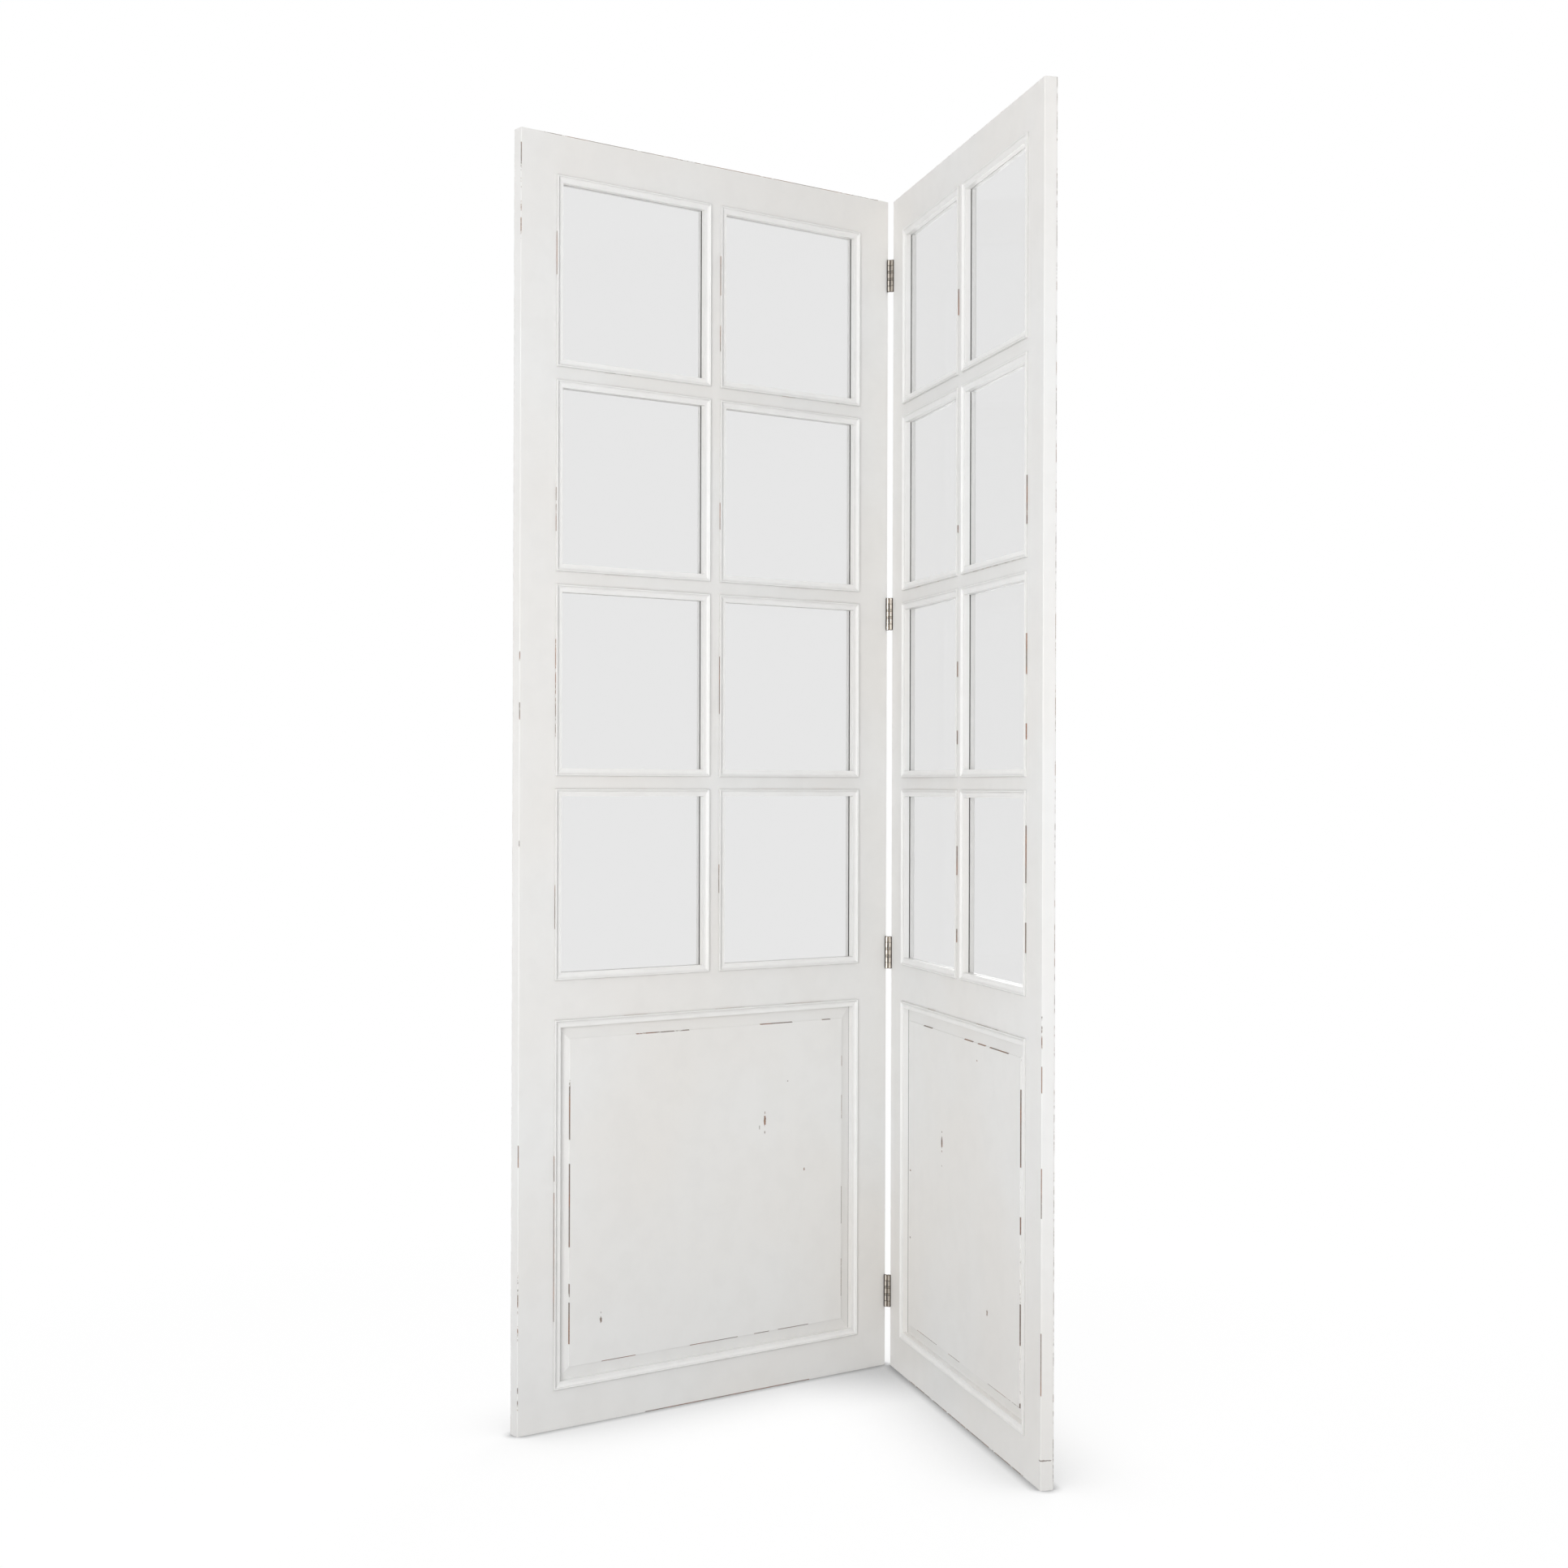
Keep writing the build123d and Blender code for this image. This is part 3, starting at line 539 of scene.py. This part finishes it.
def nickel(name, tone):
    """Dull nickel plate with a painted highlight on the barrels' fronts, painted shade on their
    flanks, and dark joints.
    """
    n = Nodes(name)
    place = n.new("TexCoord").outputs["Object"]
    split = n.new("SeparateXYZ")
    n.set(split.inputs[0], place)
    x, _, z = split.outputs

    # Painted highlight and shade: each barrel is bright at its front and darkens to its flanks,
    # with a ragged edge
    stretched = n.vector("MULTIPLY", place, (1.0, 1.0, 0.15))
    turned = n.noise(stretched, scale=1500.0, detail=3.0, roughness=0.6)
    stain = n.noise(place, scale=180.0, detail=3.0)
    flank = n.math("ABSOLUTE", n.math("SUBTRACT", n.math("ABSOLUTE", x), PIN_X))
    ragged = n.math("MULTIPLY", n.math("SUBTRACT", stain, 0.5), FLANK_RAGGED)
    flank = n.math("ADD", flank, ragged)
    flank_shade_and_tarnish = n.ramp(flank, HIGHLIGHT_HALF, BARREL_RADIUS)

    # Height from the middle of the nearest hinge, and where the barrels are
    turn = n.math("ADD", n.math("SUBTRACT", z, HINGE_LOW), HINGE_PITCH / 2)
    from_middle = n.math("SUBTRACT", n.math("FLOORED_MODULO", turn, HINGE_PITCH), HINGE_PITCH / 2)
    height = n.math("ABSOLUTE", from_middle)
    rings = band(n, height, (RING_LOW + RING_HIGH) / 2, (RING_HIGH - RING_LOW) * 0.6)
    barrel_edge = PIN_X + BARREL_RADIUS
    barrel = n.ramp(n.math("ABSOLUTE", x), barrel_edge, barrel_edge + PLATE_FADE, 1.0, 0.0)
    rings = n.math("MULTIPLY", n.math("MULTIPLY", rings, barrel), RING_TARNISH)
    flank_shade_and_tarnish = n.math("MAXIMUM", flank_shade_and_tarnish, rings)
    keep = n.math("MULTIPLY_ADD", barrel, 1.0 - PLATE_TARNISH, PLATE_TARNISH)
    flank_shade_and_tarnish = n.math("MULTIPLY", flank_shade_and_tarnish, keep)
    base = n.mix(flank_shade_and_tarnish, tone, TARNISH_AND_SHADE)

    # Painted shade and reflection: the left flank darkened and the right barrel dulled
    leftward = n.math("MULTIPLY", x, -1.0)
    left_flank_shade = n.ramp(leftward, PIN_X - 0.0001, PIN_X + 0.0010, 0.0, LEFT_FLANK_SHADE)
    base = n.mix(n.math("MULTIPLY", left_flank_shade, barrel), base, GRIME_AND_SHADE)
    right_barrel_shade = n.ramp(x, 0.0, 0.0006, 0.0, RIGHT_BARREL_SHADE)
    base = n.mix(n.math("MULTIPLY", right_barrel_shade, barrel), base, TARNISH_AND_SHADE)

    # Dark grime in the joints, and painted shade wherever two surfaces meet
    joints = band(n, height, RING_LOW, RING_LINE)
    for joint in (RING_HIGH, OUTER_JOINT, BARREL_END):
        joints = n.math("MAXIMUM", joints, band(n, height, joint, JOINT_LINE))
    occluded_shade = n.ramp(n.occlusion(HINGE_SHADE_REACH), 0.3, 0.9, 0.7, 0.0)
    joints = n.math("MULTIPLY", n.math("MULTIPLY", joints, barrel), JOINT_GRIME)
    base = n.mix(n.math("MAXIMUM", occluded_shade, joints), base, GRIME_AND_SHADE)

    shader = n.new("BsdfPrincipled")
    n.set(shader.inputs["Base Color"], base)
    n.set(shader.inputs["Roughness"], n.ramp(turned, 0.3, 0.7, 0.26, 0.4))
    shader.inputs["Metallic"].default_value = 1.0
    bump = n.new("Bump")
    bump.inputs["Strength"].default_value = 0.5
    bump.inputs["Distance"].default_value = 0.00002
    n.set(bump.inputs["Height"], turned)
    n.set(shader.inputs["Normal"], bump.outputs[0])
    n.set(n.output.inputs[0], shader.outputs[0])
    return n.material


upright_paint = paint("painted_wood_upright", "frame", "v")
level_paint = paint("painted_wood_level", "frame", "u")
panel_paint = paint("painted_panel", "panel", "v")
trim_paint = paint("painted_trim", "trim", "v")
glass_finish = glass()
plate_finish = nickel("hinge_plate", NICKEL)
screw_finish = nickel("hinge_screw", BRIGHT_NICKEL)

LEVEL = ("top_rail", "lock_rail", "bottom_rail", "cross_bar")
for name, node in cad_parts.items():
    if "glass" in name:
        finish = glass_finish
    elif "screws" in name:
        finish = screw_finish
    elif "hinge_leaf" in name or "hinge_links" in name or "pins" in name:
        finish = plate_finish
    elif "moulding" in name or "bead" in name:
        finish = trim_paint
    elif "raised_panel" in name:
        finish = panel_paint
    elif any(word in name for word in LEVEL):
        finish = level_paint
    else:
        finish = upright_paint
    node.data.materials.clear()
    node.data.materials.append(finish)


def studio_floor():
    """White to the camera, with the soft shadow that the leaves cast on it at any pose."""
    n = Nodes("studio_floor")
    path = n.new("LightPath")
    place, u, _, _, d = n.leaf_position()
    beyond = n.math("MAXIMUM", n.math("MULTIPLY", u, -1.0), n.math("SUBTRACT", u, LEAF_WIDTH))
    beyond = n.math("MAXIMUM", beyond, 0.0)
    beside = n.math("MAXIMUM", n.math("MULTIPLY", d, -1.0), n.math("SUBTRACT", d, BOARD))
    beside = n.math("MAXIMUM", beside, 0.0)
    away = n.vector("LENGTH", n.combine(beyond, beside, 0.0))
    from_middle = n.vector("LENGTH", place)

    # What the camera sees: a glow that dims where the leaves close the floor off
    closed = n.math("SUBTRACT", 1.0, n.occlusion(SHADOW_REACH, samples=16))
    shadow = n.math("MULTIPLY", n.math("POWER", closed, SHADOW_CURVE), SHADOW_DEPTH)
    touching = n.math("SUBTRACT", 1.0, n.occlusion(CONTACT_REACH, samples=8))
    contact = n.math("MULTIPLY", touching, CONTACT_DEPTH)
    lit_share = n.math("SUBTRACT", 1.0, shadow, clamp=True)
    left_over = n.math("MULTIPLY", lit_share, n.math("SUBTRACT", 1.0, contact, clamp=True))

    # What the object is lit by: less bounce close to the leaves than far away
    plain = n.new("BsdfDiffuse")
    bounce = n.ramp(away, *BOUNCE_SPAN, FLOOR_BOUNCE_NEAR, FLOOR_BOUNCE_FAR)
    n.set(plain.inputs[0], n.combine(bounce, bounce, bounce))

    shaded = n.new("BsdfDiffuse")
    shaded.inputs[0].default_value = (FLOOR_SHADE, FLOOR_SHADE, FLOOR_SHADE, 1.0)
    glow = n.new("Emission")
    n.set(glow.inputs["Strength"], n.math("MULTIPLY", left_over, FLOOR_GLOW))
    lit = n.new("AddShader")
    n.set(lit.inputs[0], shaded.outputs[0])
    n.set(lit.inputs[1], glow.outputs[0])
    pure = n.new("Emission")
    pure.inputs["Strength"].default_value = 1.0
    faded = n.new("MixShader")
    n.set(faded.inputs[0], n.ramp(from_middle, *FADE_SPAN))
    n.set(faded.inputs[1], lit.outputs[0])
    n.set(faded.inputs[2], pure.outputs[0])
    seen_floor = n.new("MixShader")
    n.set(seen_floor.inputs[0], path.outputs["Is Camera Ray"])
    n.set(seen_floor.inputs[1], plain.outputs[0])
    n.set(seen_floor.inputs[2], faded.outputs[0])
    through = n.math("MAXIMUM", path.outputs["Is Glossy Ray"], path.outputs["Is Transmission Ray"])
    both_floors = n.new("MixShader")
    n.set(both_floors.inputs[0], through)
    n.set(both_floors.inputs[1], seen_floor.outputs[0])
    n.set(both_floors.inputs[2], pure.outputs[0])
    n.set(n.output.inputs[0], both_floors.outputs[0])
    return n.material


floor_mesh = bpy.data.meshes.new("floor")
floor_corners = [
    (-FLOOR_HALF, -FLOOR_HALF, 0), (FLOOR_HALF, -FLOOR_HALF, 0),
    (FLOOR_HALF, FLOOR_HALF, 0), (-FLOOR_HALF, FLOOR_HALF, 0),
]
floor_mesh.from_pydata(floor_corners, [], [(0, 1, 2, 3)])
floor = bpy.data.objects.new("floor", floor_mesh)
floor_mesh.materials.append(studio_floor())
bpy.context.scene.collection.objects.link(floor)

# World: white to the camera, in reflections and through glass, plain soft light otherwise
world = bpy.data.worlds.new("studio")
bpy.context.scene.world = world
world.use_nodes = True
wt = world.node_tree
wt.nodes.clear()
world_out = wt.nodes.new("ShaderNodeOutputWorld")
ambient = wt.nodes.new("ShaderNodeBackground")
ambient.inputs["Color"].default_value = (1.0, 1.0, 1.0, 1.0)
ambient.inputs["Strength"].default_value = AMBIENT
white = wt.nodes.new("ShaderNodeBackground")
white.inputs["Color"].default_value = (1.0, 1.0, 1.0, 1.0)
white.inputs["Strength"].default_value = 1.0
path = wt.nodes.new("ShaderNodeLightPath")
seen = wt.nodes.new("ShaderNodeMath")
seen.operation = "MAXIMUM"
wt.links.new(path.outputs["Is Camera Ray"], seen.inputs[0])
wt.links.new(path.outputs["Is Glossy Ray"], seen.inputs[1])
seen_too = wt.nodes.new("ShaderNodeMath")
seen_too.operation = "MAXIMUM"
wt.links.new(seen.outputs[0], seen_too.inputs[0])
wt.links.new(path.outputs["Is Transmission Ray"], seen_too.inputs[1])
world_mix = wt.nodes.new("ShaderNodeMixShader")
wt.links.new(seen_too.outputs[0], world_mix.inputs[0])
wt.links.new(ambient.outputs[0], world_mix.inputs[1])
wt.links.new(white.outputs[0], world_mix.inputs[2])
wt.links.new(world_mix.outputs[0], world_out.inputs[0])


def lamp(name, place, target, size, power):
    """A square soft box aimed at a point."""
    data = bpy.data.lights.new(name, "AREA")
    data.shape = "SQUARE"
    data.size = size
    data.energy = power
    made = bpy.data.objects.new(name, data)
    made.location = place
    made.rotation_mode = "QUATERNION"
    made.rotation_quaternion = (Vector(target) - Vector(place)).to_track_quat("-Z", "Y")
    made.visible_camera = False
    made.visible_transmission = False
    bpy.context.scene.collection.objects.link(made)


lamp("front_box", (0.0, -3.6, 1.0), (0.0, 0.0, 0.9), 1.6, FRONT_POWER)
lamp("top_box", (0.0, -1.0, 4.6), (0.0, 0.0, 0.9), 3.0, TOP_POWER)
lamp("side_box", (2.6, -2.6, 1.6), (0.0, 0.0, 1.1), 1.4, SIDE_POWER)
lamp("back_box", (0.0, 3.6, 1.2), (0.0, 0.0, 0.95), 1.6, BACK_POWER)

# Camera at the photographed angle
camera_data = bpy.data.cameras.new("camera")
camera_data.sensor_width = CAMERA_SENSOR
camera_data.lens = CAMERA_LENS
camera_data.clip_end = 100.0
camera = bpy.data.objects.new("camera", camera_data)
bpy.context.scene.collection.objects.link(camera)
forward = Vector(CAMERA_AIM).normalized()
right = forward.cross(Vector((0, 0, 1))).normalized()
above = right.cross(forward)
aim = Matrix((right, above, -forward)).transposed()
camera.rotation_mode = "QUATERNION"
roll = Matrix.Rotation(math.radians(CAMERA_ROLL), 3, "Z")
camera.rotation_quaternion = (aim @ roll).to_quaternion()
camera.location = CAMERA_PLACE
bpy.context.scene.camera = camera

bpy.context.scene.view_settings.view_transform = "Standard"
